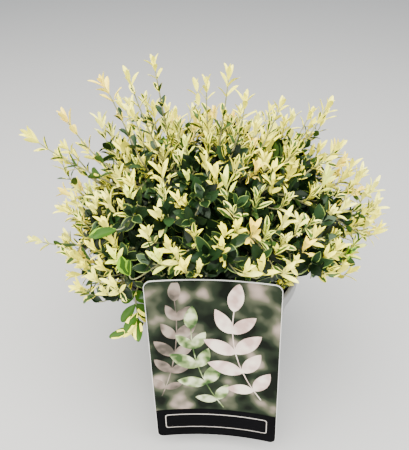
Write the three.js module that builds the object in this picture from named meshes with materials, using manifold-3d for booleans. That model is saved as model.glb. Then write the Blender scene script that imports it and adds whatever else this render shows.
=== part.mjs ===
import * as THREE from "three";
import { mergeVertices } from "three/addons/utils/BufferGeometryUtils.js";
import Module from "manifold-3d";

// Potted harlequin wintercreeper: a dwarf evergreen shrub with cream shoot tips in a plastic
// nursery pot, with a picture card hooked over the rim. Millimetres, Z up. The origin lies
// under the middle of the pot, and the card faces -Y.

const wasm = await Module();
wasm.setup();

// Pot and compost
const potHeight = 120;
const rimRadius = 70;
const rimInnerRadius = 66.4;
const rimRound = 0.8;
const bandHeight = 11;
const bandInnerRadius = 65.4;
const neckRadius = 66.6;
const footRadius = 49;
const potWall = 1.6;
const potFloor = 2.2;
const potSides = 40;
const drainCount = 6;
const drainRadius = 4;
const drainHeight = 8;
const drillLength = 12;
const clearance = 0.3;
const soilLevel = 109.5;
const soilEdgeDrop = 2.5;
const soilFlatRadius = 16;

// Picture card
const cardWidth = 92;
const cardHeight = 146;
const cardThickness = 0.9;
const cardCorner = 5;
const cardBow = 4.8;
const cardStrips = 8;
const cardMiddle = new THREE.Vector3(0.5, -77, 86.3);
const cardLean = THREE.MathUtils.degToRad(7.7);
const cardRoll = THREE.MathUtils.degToRad(-1.5);
const cardTurn = THREE.MathUtils.degToRad(-6.1);
const hookWidth = 20;
const hookDrop = 8;
const hookReach = 9.4;
const hookBite = 0.15;
const cardKeepOff = 1.5;
const cardHoldBack = 0.66;

// Stem and boughs
const crownHeart = new THREE.Vector3(0, 0, 130);
const stemFlare = 9;
const stemWaist = 4.8;
const knobRadius = 7;
const flareLobes = 5;
const boughBaseRadius = 1.9;
const boughTipRadius = 1.3;
const boughEnd = 28;
const boughBow = 1.3;

// Crown: half sizes of the dense body, and how its masses are dealt out round the heart
const bodyHalfWidth = 107;
const bodyHalfHeight = 95;
const coreShare = 0.8;
const massGap = 0.4;
const massRings = [
  { name: "top", count: 1, elevation: 90, turn: 0 },
  { name: "shoulder", count: 6, elevation: 44, turn: 30 },
  { name: "skirt", count: 8, elevation: 6, turn: 0 },
];
const lowestFoliage = 101;
const frontLift = { left: 0.3, right: 0.8 };

// Shoots: the long ones by the place of their tips, the rest dealt out evenly
const longShoots = [
  [-37, 10, 284], [-52, -6, 280], [-1, 16, 268], [13, 4, 277], [-69, -10, 277], [-99, 0, 251],
  [-128, 2, 236], [23, -12, 266], [51, 12, 253], [81, 0, 256], [88, -14, 231], [105, 24, 201],
  [132, 12, 167], [133, -4, 154], [107, -14, 124], [-111, -14, 185], [-144, 0, 147],
  [-111, -28, 132], [-109, 6, 216], [113, 0, 189], [-55, 14, 248], [78, 24, 234],
];
const backShoots = 9;
const backShootReach = [128, 150];
const droopShoot = { from: [-40, -36, 138], over: [-66, -64, 147], tip: [-76, -57, 97] };
const evenShoots = 70;
const lowestShoot = THREE.MathUtils.degToRad(-8);
const twigRadius = 1.0;
const twigTipRadius = 0.6;
const shortestShoot = 22;
const shortestReach = 0.42;
const between = [0, 0.25, 0.5, 0.75, 1];
const leafThickness = 0.9;
const evenLeaves = {
  bends: false,
  length: 26,
  width: 13,
  nodes: [
    { place: 0.7, spread: 60, size: 1 },
    { place: 1, spread: 30, size: 0.9 },
  ],
};
const longLeaves = {
  bends: true,
  length: 19,
  width: 9,
  nodes: [
    { place: 0.72, spread: 54, size: 1 },
    { place: 1, spread: 26, size: 0.9 },
  ],
};

// Seeded numbers, so that the shrub is the same on every run
function seeded(seed) {
  let state = seed;
  return function next(low = 0, high = 1) {
    state = (state + 0x6d2b79f5) | 0;
    let mixed = Math.imul(state ^ (state >>> 15), 1 | state);
    mixed = (mixed + Math.imul(mixed ^ (mixed >>> 7), 61 | mixed)) ^ mixed;
    return low + (((mixed ^ (mixed >>> 14)) >>> 0) / 4294967296) * (high - low);
  };
}

// A closed geometry as a solid, with its doubled vertices merged and flat triangles left out
function solidOf(geometry) {
  const bare = new THREE.BufferGeometry();
  bare.setAttribute("position", geometry.getAttribute("position").clone());
  bare.setIndex(geometry.getIndex());
  const merged = mergeVertices(bare, 1e-4);
  const corners = merged.getIndex().array;
  const triangles = [];
  for (let at = 0; at < corners.length; at += 3) {
    const [a, b, c] = corners.slice(at, at + 3);
    if (a !== b && b !== c && c !== a) {
      triangles.push(a, b, c);
    }
  }
  return new wasm.Manifold(
    new wasm.Mesh({
      numProp: 3,
      vertProperties: new Float32Array(merged.getAttribute("position").array),
      triVerts: new Uint32Array(triangles),
    }),
  );
}

function geometryOf(solid) {
  const mesh = solid.getMesh();
  const geometry = new THREE.BufferGeometry();
  geometry.setAttribute("position", new THREE.BufferAttribute(mesh.vertProperties, 3));
  geometry.setIndex(new THREE.BufferAttribute(mesh.triVerts, 1));
  geometry.computeVertexNormals();
  return geometry;
}

// The solids fused, without loose scraps and with any sealed hollow filled
function fused(solids) {
  const joined = solids.reduce((sum, solid) => sum.add(solid));
  const bodies = joined.decompose();
  return bodies.reduce((best, body) => (body.volume() > best.volume() ? body : best));
}

function named(name, solid, color, roughness, metalness = 0) {
  const material = new THREE.MeshStandardMaterial({ color, roughness, metalness });
  const mesh = new THREE.Mesh(geometryOf(solid), material);
  mesh.name = name;
  return mesh;
}

// A profile of radius and height turned round the Z axis
function turned(profile, sides) {
  const points = profile.map(([radius, height]) => new THREE.Vector2(radius, height));
  return new THREE.LatheGeometry(points, sides).rotateX(Math.PI / 2);
}

// Pot

function potInnerRadius(height) {
  const bandFoot = potHeight - bandHeight;
  const share = (height - potFloor) / (bandFoot - potFloor);
  return THREE.MathUtils.lerp(footRadius, neckRadius, Math.min(share, 1)) - potWall;
}

function pot() {
  const bandFoot = potHeight - bandHeight;
  const shell = solidOf(
    turned(
      [
        [0, 0],
        [footRadius - rimRound, 0],
        [footRadius, rimRound],
        [neckRadius, bandFoot - rimRound],
        [rimRadius - rimRound, bandFoot],
        [rimRadius, bandFoot + rimRound],
        [rimRadius, potHeight - rimRound],
        [rimRadius - rimRound, potHeight],
        [rimInnerRadius + rimRound, potHeight],
        [rimInnerRadius, potHeight - rimRound],
        [bandInnerRadius, bandFoot],
        [potInnerRadius(potFloor), potFloor],
        [0, potFloor],
      ],
      potSides,
    ),
  );
  let holed = shell;
  for (let index = 0; index < drainCount; index += 1) {
    const turn = ((index + 0.5) / drainCount) * 2 * Math.PI;
    const drill = new THREE.CylinderGeometry(drainRadius, drainRadius, drillLength, 8);
    drill.rotateZ(Math.PI / 2).translate(footRadius, 0, drainHeight).rotateZ(turn);
    holed = holed.subtract(solidOf(drill));
  }
  return named("pot", holed, 0xa2a1a8, 0.5);
}

// Compost, flat round the stem and sinking a little towards the wall
function compost() {
  const floor = potFloor + clearance;
  const edge = soilLevel - soilEdgeDrop;
  const wallGap = clearance + 0.1;
  const solid = solidOf(
    turned(
      [
        [0, floor],
        [potInnerRadius(floor) - wallGap, floor],
        [potInnerRadius(edge) - wallGap, edge],
        [(soilFlatRadius + potInnerRadius(edge)) / 2, soilLevel - soilEdgeDrop / 3],
        [soilFlatRadius, soilLevel],
        [0, soilLevel],
      ],
      potSides,
    ),
  );
  return named("compost", solid, 0x2b1f17, 0.95);
}

// Picture card: a thin plate with round corners, bowed away from the viewer along its middle
// line, that leans back against the rim, and a hook over the rim behind it

const cardPlace = new THREE.Matrix4()
  .makeRotationFromEuler(new THREE.Euler(-cardLean, cardRoll, cardTurn, "ZXY"))
  .setPosition(cardMiddle);
const cardPlaceBack = cardPlace.clone().invert();

function cardDepth(across) {
  return -cardBow * (across / (cardWidth / 2)) ** 2;
}

function roundedPrism(depth) {
  const shape = new THREE.Shape();
  const x = cardWidth / 2 - cardCorner;
  const z = cardHeight / 2 - cardCorner;
  shape.absarc(x, z, cardCorner, 0, Math.PI / 2);
  shape.absarc(-x, z, cardCorner, Math.PI / 2, Math.PI);
  shape.absarc(-x, -z, cardCorner, Math.PI, Math.PI * 1.5);
  shape.absarc(x, -z, cardCorner, Math.PI * 1.5, Math.PI * 2);
  const prism = new THREE.ExtrudeGeometry(shape, {
    depth,
    bevelEnabled: false,
    curveSegments: 4,
  });
  return solidOf(prism.translate(0, 0, -depth / 2).rotateX(Math.PI / 2));
}

function bowedSheet() {
  const strip = new THREE.Shape();
  const across = (step) => (step / cardStrips - 0.5) * (cardWidth + 2);
  strip.moveTo(across(0), cardDepth(across(0)) - cardThickness / 2);
  for (let step = 1; step <= cardStrips; step += 1) {
    strip.lineTo(across(step), cardDepth(across(step)) - cardThickness / 2);
  }
  for (let step = cardStrips; step >= 0; step -= 1) {
    strip.lineTo(across(step), cardDepth(across(step)) + cardThickness / 2);
  }
  const sheet = new THREE.ExtrudeGeometry(strip, { depth: cardHeight + 2, bevelEnabled: false });
  return solidOf(sheet.translate(0, 0, -cardHeight / 2 - 1));
}

// A level hook from the card's back over the rim and down inside the band
function cardHook() {
  const over = potHeight + clearance;
  const rise = (over - cardMiddle.z) * Math.tan(cardLean);
  const profile = new THREE.Shape();
  const front = rise - hookBite;
  const inside = rise + hookReach;
  profile.moveTo(front, over);
  profile.lineTo(inside, over);
  profile.lineTo(inside, over - hookDrop);
  profile.lineTo(inside + cardThickness, over - hookDrop);
  profile.lineTo(inside + cardThickness, over + cardThickness);
  profile.lineTo(front, over + cardThickness);
  const hook = new THREE.ExtrudeGeometry(profile, { depth: hookWidth, bevelEnabled: false });
  hook.translate(0, 0, -hookWidth / 2);
  hook.applyMatrix4(new THREE.Matrix4().set(0, 0, 1, 0, 1, 0, 0, 0, 0, 1, 0, 0, 0, 0, 0, 1));
  return solidOf(hook.rotateZ(cardTurn).translate(cardMiddle.x, cardMiddle.y, 0));
}

function card() {
  const outline = roundedPrism(cardBow * 4);
  const plate = geometryOf(bowedSheet().intersect(outline)).applyMatrix4(cardPlace);
  return named("card", solidOf(plate).add(cardHook()), 0x6d7268, 0.35);
}

// Stem: a short stool from its flat cut on the compost, with root flare, up to a round knob
function stem() {
  const foot = soilLevel + clearance;
  const heart = crownHeart.z;
  const profile = [[0, foot], [stemFlare, foot], [stemFlare * 0.78, foot + 2]];
  profile.push([stemFlare * 0.62, foot + 5], [stemWaist, foot + 10]);
  for (let step = 0; step <= 5; step += 1) {
    const rise = THREE.MathUtils.degToRad(-40 + step * 26);
    profile.push([knobRadius * Math.cos(rise), heart + knobRadius * Math.sin(rise)]);
  }
  profile[profile.length - 1][0] = 0;
  const geometry = turned(profile, flareLobes * 3);
  const place = geometry.getAttribute("position");
  for (let index = 0; index < place.count; index += 1) {
    const [x, y, z] = [place.getX(index), place.getY(index), place.getZ(index)];
    const low = THREE.MathUtils.clamp(1 - (z - foot) / 9, 0, 1);
    const lobe = 1 + 0.16 * low * Math.cos(flareLobes * Math.atan2(y, x));
    place.setXYZ(index, x * lobe, y * lobe, z);
  }
  return named("stem", solidOf(geometry), 0x6b5d48, 0.85);
}

// Masses and the space of each: a wedge round its own direction from the heart

function masses() {
  const list = [];
  for (const ring of massRings) {
    for (let index = 0; index < ring.count; index += 1) {
      const azimuth = THREE.MathUtils.degToRad(ring.turn + (index * 360) / ring.count);
      const elevation = THREE.MathUtils.degToRad(ring.elevation);
      const toward = new THREE.Vector3(
        Math.sin(azimuth) * Math.cos(elevation),
        -Math.cos(azimuth) * Math.cos(elevation),
        Math.sin(elevation),
      );
      const name = ring.count === 1 ? ring.name : `${ring.name}_${index + 1}`;
      list.push({ name, toward });
    }
  }
  return list;
}

const allMasses = masses();
for (const mass of allMasses) {
  mass.walls = allMasses
    .filter((other) => other !== mass)
    .map((other) => mass.toward.clone().sub(other.toward).normalize());
}

function massAt(point) {
  const out = point.clone().sub(crownHeart);
  return allMasses.reduce((best, mass) =>
    out.dot(mass.toward) > out.dot(best.toward) ? mass : best,
  );
}

// Above the compost and the rim, and lower only outside the pot. The lower edge of the crown
// rises towards the front, more so on the right, and one hanging shoot goes below it.
function clearOfPot(point, margin, hanging) {
  const radius = Math.hypot(point.x, point.y);
  if (radius < rimInnerRadius - 5) {
    return point.z > soilLevel + 1 + margin;
  }
  if (radius < rimRadius + 3 + margin && point.z < potHeight + 1 + margin) {
    return false;
  }
  const lift = Math.max(-point.y, 0) * (point.x < 0 ? frontLift.left : frontLift.right);
  return hanging || point.z > lowestFoliage + lift;
}

// Beside or behind the card, or leaning out over its top edge, and clear of its hook
function clearOfCard(point, margin) {
  const { x: across, y: deep, z: up } = point.clone().applyMatrix4(cardPlaceBack);
  const behindBy = deep - cardDepth(across);
  const room = cardKeepOff + margin;
  const beside = Math.abs(across) > cardWidth / 2 + room;
  const above = up > cardHeight / 2 + Math.max(-behindBy, 0) * cardHoldBack + room;
  const nearHook = Math.abs(across) < hookWidth / 2 + room && point.z < potHeight + 4;
  return (beside || above || behindBy > room) && !(nearHook && behindBy < hookReach + 4);
}

function inSpace(point, mass, margin = 0, hanging = false) {
  const out = point.clone().sub(crownHeart);
  return (
    out.dot(mass.toward) >= boughEnd - 1e-6 &&
    mass.walls.every((wall) => out.dot(wall) >= massGap / 2 + margin) &&
    clearOfPot(point, margin, hanging) &&
    clearOfCard(point, margin)
  );
}

// How far out a point lies, with 1 on the surface of the dense body
function bodyShare(point) {
  const out = point.clone().sub(crownHeart);
  return Math.hypot(Math.hypot(out.x, out.y) / bodyHalfWidth, out.z / bodyHalfHeight);
}

// Boughs: tapering limbs with a slight bow, from the knob to where their masses begin
function bough(mass) {
  const start = knobRadius + clearance + 0.05;
  const length = boughEnd - clearance - start;
  const limb = new THREE.CylinderGeometry(boughTipRadius, boughBaseRadius, length, 5, 3);
  const place = limb.getAttribute("position");
  for (let index = 0; index < place.count; index += 1) {
    const along = place.getY(index) / length + 0.5;
    place.setZ(index, place.getZ(index) - boughBow * 4 * along * (1 - along));
  }
  limb.translate(0, length / 2 + start, 0);
  limb.applyQuaternion(
    new THREE.Quaternion().setFromUnitVectors(new THREE.Vector3(0, 1, 0), mass.toward),
  );
  limb.translate(crownHeart.x, crownHeart.y, crownHeart.z);
  return named(`bough_${mass.name}`, solidOf(limb), 0x7a6c50, 0.85);
}

// Twig: three-sided, tapering from one point to another
function twig(from, to, fromRadius, toRadius) {
  const along = to.clone().sub(from);
  const stick = new THREE.CylinderGeometry(toRadius, fromRadius, along.length(), 3, 1);
  stick.translate(0, along.length() / 2, 0);
  stick.applyQuaternion(
    new THREE.Quaternion().setFromUnitVectors(new THREE.Vector3(0, 1, 0), along.normalize()),
  );
  return solidOf(stick.translate(from.x, from.y, from.z));
}

// Leaf: thick where it is rooted, keeled along its midrib, with its tip bent back.
// Its upper side faces along the given normal.
function leafCorners(root, along, normal, length, width) {
  const side = normal.clone().cross(along).normalize();
  const spot = (forward, sideways, lift) =>
    root
      .clone()
      .addScaledVector(along, forward)
      .addScaledVector(side, sideways)
      .addScaledVector(normal, lift);
  return [
    spot(0, 0, leafThickness / 2),
    spot(0, 0, -leafThickness / 2),
    spot(length * 0.47, width / 2, 0.8),
    spot(length * 0.47, -width / 2, 0.8),
    spot(length, 0, -0.06 * length),
  ];
}

const leafFaces = [0, 3, 4, 0, 4, 2, 1, 4, 3, 1, 2, 4, 0, 1, 3, 0, 2, 1];

function leafSolid(corners) {
  const geometry = new THREE.BufferGeometry().setFromPoints(corners);
  geometry.setIndex(leafFaces);
  return solidOf(geometry);
}

// Lowest height of a core: a shallow bowl from the compost up over the rim
function coreFloor(point) {
  const radius = Math.min(Math.hypot(point.x, point.y), rimRadius);
  const slope = (potHeight + 4 - soilLevel) / (rimInnerRadius - soilFlatRadius);
  return soilLevel + 1.5 + Math.max(radius - soilFlatRadius, 0) * slope;
}

// Core: the dense dark inside of a mass, swollen from its middle to the walls of its space
function core(mass, random) {
  const middle = crownHeart.clone().addScaledVector(mass.toward, boughEnd + 28);
  middle.z = Math.max(middle.z, potHeight + 12);
  const ball = mergeVertices(
    new THREE.IcosahedronGeometry(1, 1).deleteAttribute("normal").deleteAttribute("uv"),
  );
  const place = ball.getAttribute("position");
  for (let index = 0; index < place.count; index += 1) {
    const out = new THREE.Vector3().fromBufferAttribute(place, index);
    let reach = 4;
    const fits = (distance) => {
      const point = middle.clone().addScaledVector(out, distance);
      const deep = point.clone().sub(crownHeart).dot(mass.toward) > boughEnd + 3;
      const high = point.z > coreFloor(point);
      return deep && high && inSpace(point, mass, 0.8) && bodyShare(point) < coreShare;
    };
    while (fits(reach + 1)) {
      reach += 1;
    }
    out.multiplyScalar(reach * random(0.94, 1)).add(middle);
    place.setXYZ(index, out.x, out.y, out.z);
  }
  return solidOf(ball);
}

// Shoot: a straight twig, or two along a bent line, to a tuft, with a crossed pair of leaves
// on the way
function shoot(mass, start, bend, tip, leaves, random) {
  const solids = [];
  const heading = tip.clone().sub(bend).normalize();
  const end = tip.clone().addScaledVector(heading, -leaves.length * 0.8);
  const line = new THREE.QuadraticBezierCurve3(start, bend, end);
  const middle = leaves.bends ? line.getPoint(0.5) : start.clone().lerp(end, 0.5);
  const fits = (point, margin) => inSpace(point, mass, margin, leaves.hanging);
  const fitsBetween = (from, to, margin) =>
    between.every((share) => fits(from.clone().lerp(to, share), margin));
  if (!fitsBetween(middle, end, twigRadius) || !fitsBetween(start, middle, 0)) {
    return { solids, middle: null };
  }
  const midRadius = (twigRadius + twigTipRadius) / 2;
  if (leaves.bends) {
    solids.push(twig(start, middle, twigRadius, midRadius));
    solids.push(twig(middle, end, midRadius + 0.05, twigTipRadius));
  } else {
    solids.push(twig(start, end, twigRadius, twigTipRadius));
  }
  const roll = random(0, Math.PI);
  leaves.nodes.forEach((node, step) => {
    const [from, to] = node.place < 0.5 ? [start, middle] : [middle, end];
    const root = from.clone().lerp(to, ((node.place * 2) % 1 || 1) * 0.97);
    const across = new THREE.Vector3(heading.y, -heading.x, 0.01).cross(heading).normalize();
    across.applyAxisAngle(heading, roll + (step * Math.PI) / 2);
    for (const side of [0, Math.PI]) {
      const spread = THREE.MathUtils.degToRad(node.spread + random(-8, 8));
      const length = leaves.length * node.size * random(0.9, 1.08);
      const width = leaves.width * node.size;
      for (const retry of [0, 0.7, -0.7]) {
        const outward = across.clone().applyAxisAngle(heading, side + retry);
        const along = heading.clone().multiplyScalar(Math.cos(spread));
        along.addScaledVector(outward, Math.sin(spread));
        const normal = heading.clone().multiplyScalar(Math.sin(spread));
        normal.addScaledVector(outward, -Math.cos(spread));
        const corners = leafCorners(root, along, normal, length, width);
        const [base, , left, right, point] = corners;
        const inside = [left, right, point].every((corner) => fitsBetween(base, corner, 0.1));
        if (inside && fitsBetween(left, point, 0.1) && fitsBetween(right, point, 0.1)) {
          solids.push(leafSolid(corners));
          break;
        }
      }
    }
  });
  return { solids, middle };
}

// Tips of the even shoots: spread over the dome like seeds on a sunflower head
function evenTips(random) {
  const tips = [];
  const goldenTurn = Math.PI * (3 - Math.sqrt(5));
  for (let index = 0; index < evenShoots; index += 1) {
    const low = Math.sin(lowestShoot);
    const rise = Math.asin(1 - ((index + 0.5) / evenShoots) * (1 - low));
    const turn = index * goldenTurn;
    const out = new THREE.Vector3(
      Math.cos(turn) * Math.cos(rise),
      Math.sin(turn) * Math.cos(rise),
      Math.sin(rise),
    );
    const reach = random(0.96, 1.14) / bodyShare(crownHeart.clone().add(out));
    tips.push(crownHeart.clone().addScaledVector(out, reach));
  }
  return tips;
}

// Tips of the long shoots, and more of them behind, where the crown is as full
function longTips(random) {
  const tips = longShoots.map((tip) => new THREE.Vector3(...tip));
  for (let index = 0; index < backShoots; index += 1) {
    const turn = ((index + random(0.2, 0.8)) / backShoots) * Math.PI;
    const rise = THREE.MathUtils.degToRad([12, 48, 28][index % 3] + random(-8, 8));
    const out = new THREE.Vector3(
      Math.cos(turn) * Math.cos(rise),
      Math.sin(turn) * Math.cos(rise),
      Math.sin(rise),
    );
    tips.push(crownHeart.clone().addScaledVector(out, random(...backShootReach)));
  }
  return tips;
}

// Each shoot springs from the nearest wood of its mass that lies well below its tip
function foliage(mass, tips, random) {
  const out = (distance) => crownHeart.clone().addScaledVector(mass.toward, distance);
  const forks = [out(boughEnd + 10), out(boughEnd + 18), out(boughEnd + 26)];
  const solids = [
    twig(out(boughEnd), forks[2], boughTipRadius, twigRadius),
    core(mass, random),
  ];
  for (const { tip, leaves, from, over } of tips) {
    const heart = (point) => point.distanceTo(crownHeart);
    let start = from;
    if (!start) {
      const below = forks.filter((fork) => heart(fork) < heart(tip) - shortestShoot);
      const line = new THREE.Line3(crownHeart, tip);
      const aside = (fork) => line.closestPointToPoint(fork, true, new THREE.Vector3());
      const cost = (fork) => (leaves.bends ? fork.distanceTo(aside(fork)) : fork.distanceTo(tip));
      start = (below.length ? below : forks).reduce((best, fork) =>
        cost(fork) < cost(best) ? fork : best,
      );
    }
    let bend = over;
    if (!bend) {
      bend = start.clone().lerp(tip, 0.55);
      bend.z -= 0.05 * start.distanceTo(tip);
    }
    const grown = shoot(mass, start, bend, tip, leaves, random);
    solids.push(...grown.solids);
    if (grown.middle) {
      forks.push(grown.middle);
    }
  }
  return named(`foliage_${mass.name}`, fused(solids), 0x9fa765, 0.7);
}

function crown() {
  const random = seeded(2718);
  const byMass = new Map(allMasses.map((mass) => [mass, []]));
  const allot = (tip, leaves) => {
    const mass = massAt(tip);
    let reach = 1;
    const point = tip.clone();
    while (!inSpace(point, mass, 3) && reach > shortestReach) {
      reach -= 0.04;
      point.lerpVectors(crownHeart, tip, reach);
    }
    if (reach > shortestReach) {
      byMass.get(mass).push({ tip: point, leaves });
    }
  };
  evenTips(random).forEach((tip) => allot(tip, evenLeaves));
  longTips(random).forEach((tip) => allot(tip, longLeaves));
  const droop = Object.fromEntries(
    Object.entries(droopShoot).map(([key, place]) => [key, new THREE.Vector3(...place)]),
  );
  const hangingLeaves = { ...evenLeaves, bends: true, hanging: true };
  byMass.get(massAt(droop.over)).push({ ...droop, leaves: hangingLeaves });
  return allMasses.map((mass) => foliage(mass, byMass.get(mass), random));
}

const shrub = new THREE.Group();
shrub.add(pot(), compost(), card(), stem());
shrub.add(...allMasses.map(bough));
shrub.add(...crown());

export default shrub;
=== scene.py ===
import math

import bmesh
import bpy
import numpy as np
from mathutils import Matrix, Vector


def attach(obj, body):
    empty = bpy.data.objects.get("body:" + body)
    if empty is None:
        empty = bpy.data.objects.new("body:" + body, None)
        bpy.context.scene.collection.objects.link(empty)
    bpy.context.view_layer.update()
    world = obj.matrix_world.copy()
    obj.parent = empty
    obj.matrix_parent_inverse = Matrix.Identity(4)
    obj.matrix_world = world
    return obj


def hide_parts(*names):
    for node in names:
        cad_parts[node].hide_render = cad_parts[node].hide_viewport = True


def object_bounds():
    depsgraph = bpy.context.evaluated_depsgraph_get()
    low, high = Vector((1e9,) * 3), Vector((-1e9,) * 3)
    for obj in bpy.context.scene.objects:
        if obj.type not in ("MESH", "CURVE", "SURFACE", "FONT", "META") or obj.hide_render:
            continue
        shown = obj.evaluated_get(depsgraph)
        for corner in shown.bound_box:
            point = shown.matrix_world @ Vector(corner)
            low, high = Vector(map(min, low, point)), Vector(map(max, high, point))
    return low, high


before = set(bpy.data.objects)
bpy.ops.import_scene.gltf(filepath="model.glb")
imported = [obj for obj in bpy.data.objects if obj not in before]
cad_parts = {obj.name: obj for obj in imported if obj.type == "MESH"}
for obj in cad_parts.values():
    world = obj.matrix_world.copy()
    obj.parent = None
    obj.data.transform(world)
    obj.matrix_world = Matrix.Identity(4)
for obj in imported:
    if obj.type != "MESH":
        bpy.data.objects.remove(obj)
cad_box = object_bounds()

# Potted harlequin wintercreeper: a dwarf evergreen shrub with cream shoot tips over dark
# glossy leaves, in a silver-grey nursery pot with a picture card hooked over the rim.
# Sizes are in millimetres and are turned to metres when a mesh is made.

MM = 0.001
FOLIAGE_NODES = sorted(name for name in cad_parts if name.startswith("foliage_"))
BOUGH_NODES = [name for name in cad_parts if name.startswith("bough_")]

# Camera and photograph
PHOTO_SIZE = np.array([409.0, 450.0])
FOCAL_PIXELS = 500.0
SENSOR_WIDTH = 36.0
CAMERA_PLACE = np.array([-5.0, -316.0, 377.0])
CAMERA_PITCH = math.radians(35)
CAMERA_ROLL = math.radians(1.07)

# Floor and light, in metres. Each light box has a place, a size, its watts and a colour
FLOOR_RADIUS = 8.0
SKY_COLOUR = "#f1f4fa"
SKY_STRENGTH = 1.16
LIGHT_AIM = Vector((0, 0, 0.15))
LIGHT_BOXES = [
    ("top_box", (-0.15, -0.35, 1.1), 1.7, 86.0, "#fffaf2"),
    ("right_box", (0.9, -0.5, 0.7), 0.6, 11.0, "#f4f7ff"),
]

# Pot
POT_HEIGHT = 120.0
RIM_RADIUS = 70.0
RIM_INNER_RADIUS = 66.4
BAND_FOOT = POT_HEIGHT - 11.0
BAND_INNER_RADIUS = 65.4
NECK_RADIUS = 66.6
NECK_HEIGHT = 3.0
FOOT_RADIUS = 49.0
POT_WALL = 1.6
POT_FLOOR = 2.2
POT_SIDES = 96
OUTER_STEPS = 8
INNER_STEPS = 4
CAP_INSET = 8.0
DRAIN_COUNT = 6
DRAIN_RADIUS = 4.0
DRAIN_HEIGHT = 8.0
DRILL_LENGTH = 14.0

# Round edges of the pot, as steps outwards and upwards from a radius and a height
FOOT_EDGE = [(-6, 1.2), (-5.2, 0.25), (-4.4, 0), (-1.4, 0), (-0.4, 0.4), (0, 1.4)]
NECK_EDGE = [(-0.1, -1), (0.5, -0.25)]
BAND_EDGE = [(-1.3, -0.1), (-0.5, 0.3), (-0.25, 1.1)]
RIM_OUTER_EDGE = [(-0.15, -3.4), (0, -2.6), (0, -1.1), (-0.4, -0.3), (-1.2, 0)]
RIM_INNER_EDGE = [(1.2, 0), (0.4, -0.3), (0, -1.1)]

# Compost: a crumbly bed that sinks a little towards the wall
SOIL_LEVEL = 109.5
SOIL_EDGE_DROP = 2.5
SOIL_FLAT_RADIUS = 16.0
SOIL_RINGS = 26
SOIL_SIDES = 128
CRUMB_SIZE = 3.2
CRUMB_DEPTH = 2.4
CLEARANCE = 0.3

# Picture card
CARD_WIDTH = 92.0
CARD_HEIGHT = 146.0
CARD_THICKNESS = 0.9
CARD_CORNER = 5.0
CARD_BOW = 4.8
CARD_MIDDLE = np.array([0.5, -77.0, 86.3])
CARD_LEAN = math.radians(7.7)
CARD_ROLL = math.radians(-1.5)
CARD_TURN = math.radians(-6.1)
CARD_STRIPS = 24
HOOK_WIDTH = 20.0
HOOK_DROP = 8.0
HOOK_REACH = 9.4
HOOK_EDGE = 0.3

# Layers of the print: width, height, corner, height over the sheet, middle up the card, whether
# only the foot's corners are round, and ink
PRINT_WIDTH = CARD_WIDTH - 0.8
PRINT_CORNER = CARD_CORNER - 0.4
PRINT_THICKNESS = 0.06
CARD_LAYERS = [
    ("card_print", PRINT_WIDTH, CARD_HEIGHT - 0.8, PRINT_CORNER, 0.08, 0, False, "soft_foliage"),
    ("card_foot", PRINT_WIDTH, 28, PRINT_CORNER, 0.2, -58.6, True, "black"),
    ("card_frame", CARD_WIDTH - 14, 14, 2, 0.26, -57, False, "pale_line"),
    ("card_frame_ground", CARD_WIDTH - 15.2, 12.8, 1.5, 0.32, -57, False, "black"),
]

# Printed sprays of a made-up picture: foot and tip on the card, sideways bend, pairs of leaves,
# leaf length and width, height over the sheet, and ink
CARD_SPRAYS = [
    ("card_far_spray", (-40, -30), (-26, 56), -5, 5, (18, 8.5), 0.1, "dusky_leaf"),
    ("card_middle_spray", (6, -42), (-16, 32), 6, 4, (20, 9.5), 0.12, "green_leaf"),
    ("card_near_spray", (34, -30), (14, 48), 8, 4, (24, 11), 0.14, "rose_cream_leaf"),
]
SPRAY_ROOM = np.array([CARD_WIDTH / 2 - 1.5, CARD_HEIGHT / 2 - 2])
SPRAY_STEM_RADIUS = 0.35
SPRAY_STATIONS = np.linspace(0, 1, 13)
SPRAY_HALF_WIDTHS = np.sin(math.pi * SPRAY_STATIONS ** 0.85) ** 0.8 / 2

# Inks: grain in millimetres and the colours along it
CARD_INKS = {
    "soft_foliage": (17.0, [
        (0.36, "#10140f"), (0.5, "#242c20"), (0.6, "#4d5040"), (0.74, "#a18f84"),
    ]),
    "black": (40.0, [(0.3, "#020203"), (0.7, "#050507")]),
    "pale_line": (40.0, [(0.3, "#b9b2ab"), (0.7, "#c9c3bb")]),
    "dusky_leaf": (9.0, [(0.35, "#4a453e"), (0.5, "#7a6c62"), (0.65, "#93877a")]),
    "green_leaf": (7.0, [(0.35, "#39502c"), (0.5, "#7c8e5b"), (0.65, "#c3cba4")]),
    "rose_cream_leaf": (9.0, [(0.35, "#b99c92"), (0.5, "#d6c0b4"), (0.65, "#e4d9c6")]),
}

# Stem and boughs. Each kind of crack in the stem has a depth, a count around it and a twist
CROWN_HEART = np.array([0.0, 0.0, 130.0])
STEM_WAIST = 4.8
STEM_HEIGHTS = np.concatenate([np.linspace(0, 12, 10), np.linspace(13, 27.5, 14)])
STEM_SIDES = 40
STEM_CRACKS = [(0.05, 13, 0.7), (0.03, 29, -1)]
FLARE_RADIUS = 9.0
FLARE_FALL = 3.4
FLARE_LOBES = 5
LOBE_DEPTH = 0.16
LOBE_HEIGHT = 9.0
KNOB_RADIUS = 7.0
BOUGH_BASE_RADIUS = 1.9
BOUGH_TIP_RADIUS = 1.3
BOUGH_END = 28.0
BOUGH_BOW = 1.3
BOUGH_STATIONS = np.linspace(0, 1, 7)
BOUGH_SIDES = 12
BOUGH_CRACK = 0.06

# Shape of the crown: the rings of masses have a count, an elevation and a turn in degrees
MASS_RINGS = [(1, 90, 0), (6, 44, 30), (8, 6, 0)]
BODY_HALF_WIDTH = 107.0
BODY_HALF_HEIGHT = 95.0
NEAR_FACING = 0.4
SIGHT_STEPS = np.arange(150, 620, 1.0)

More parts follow.
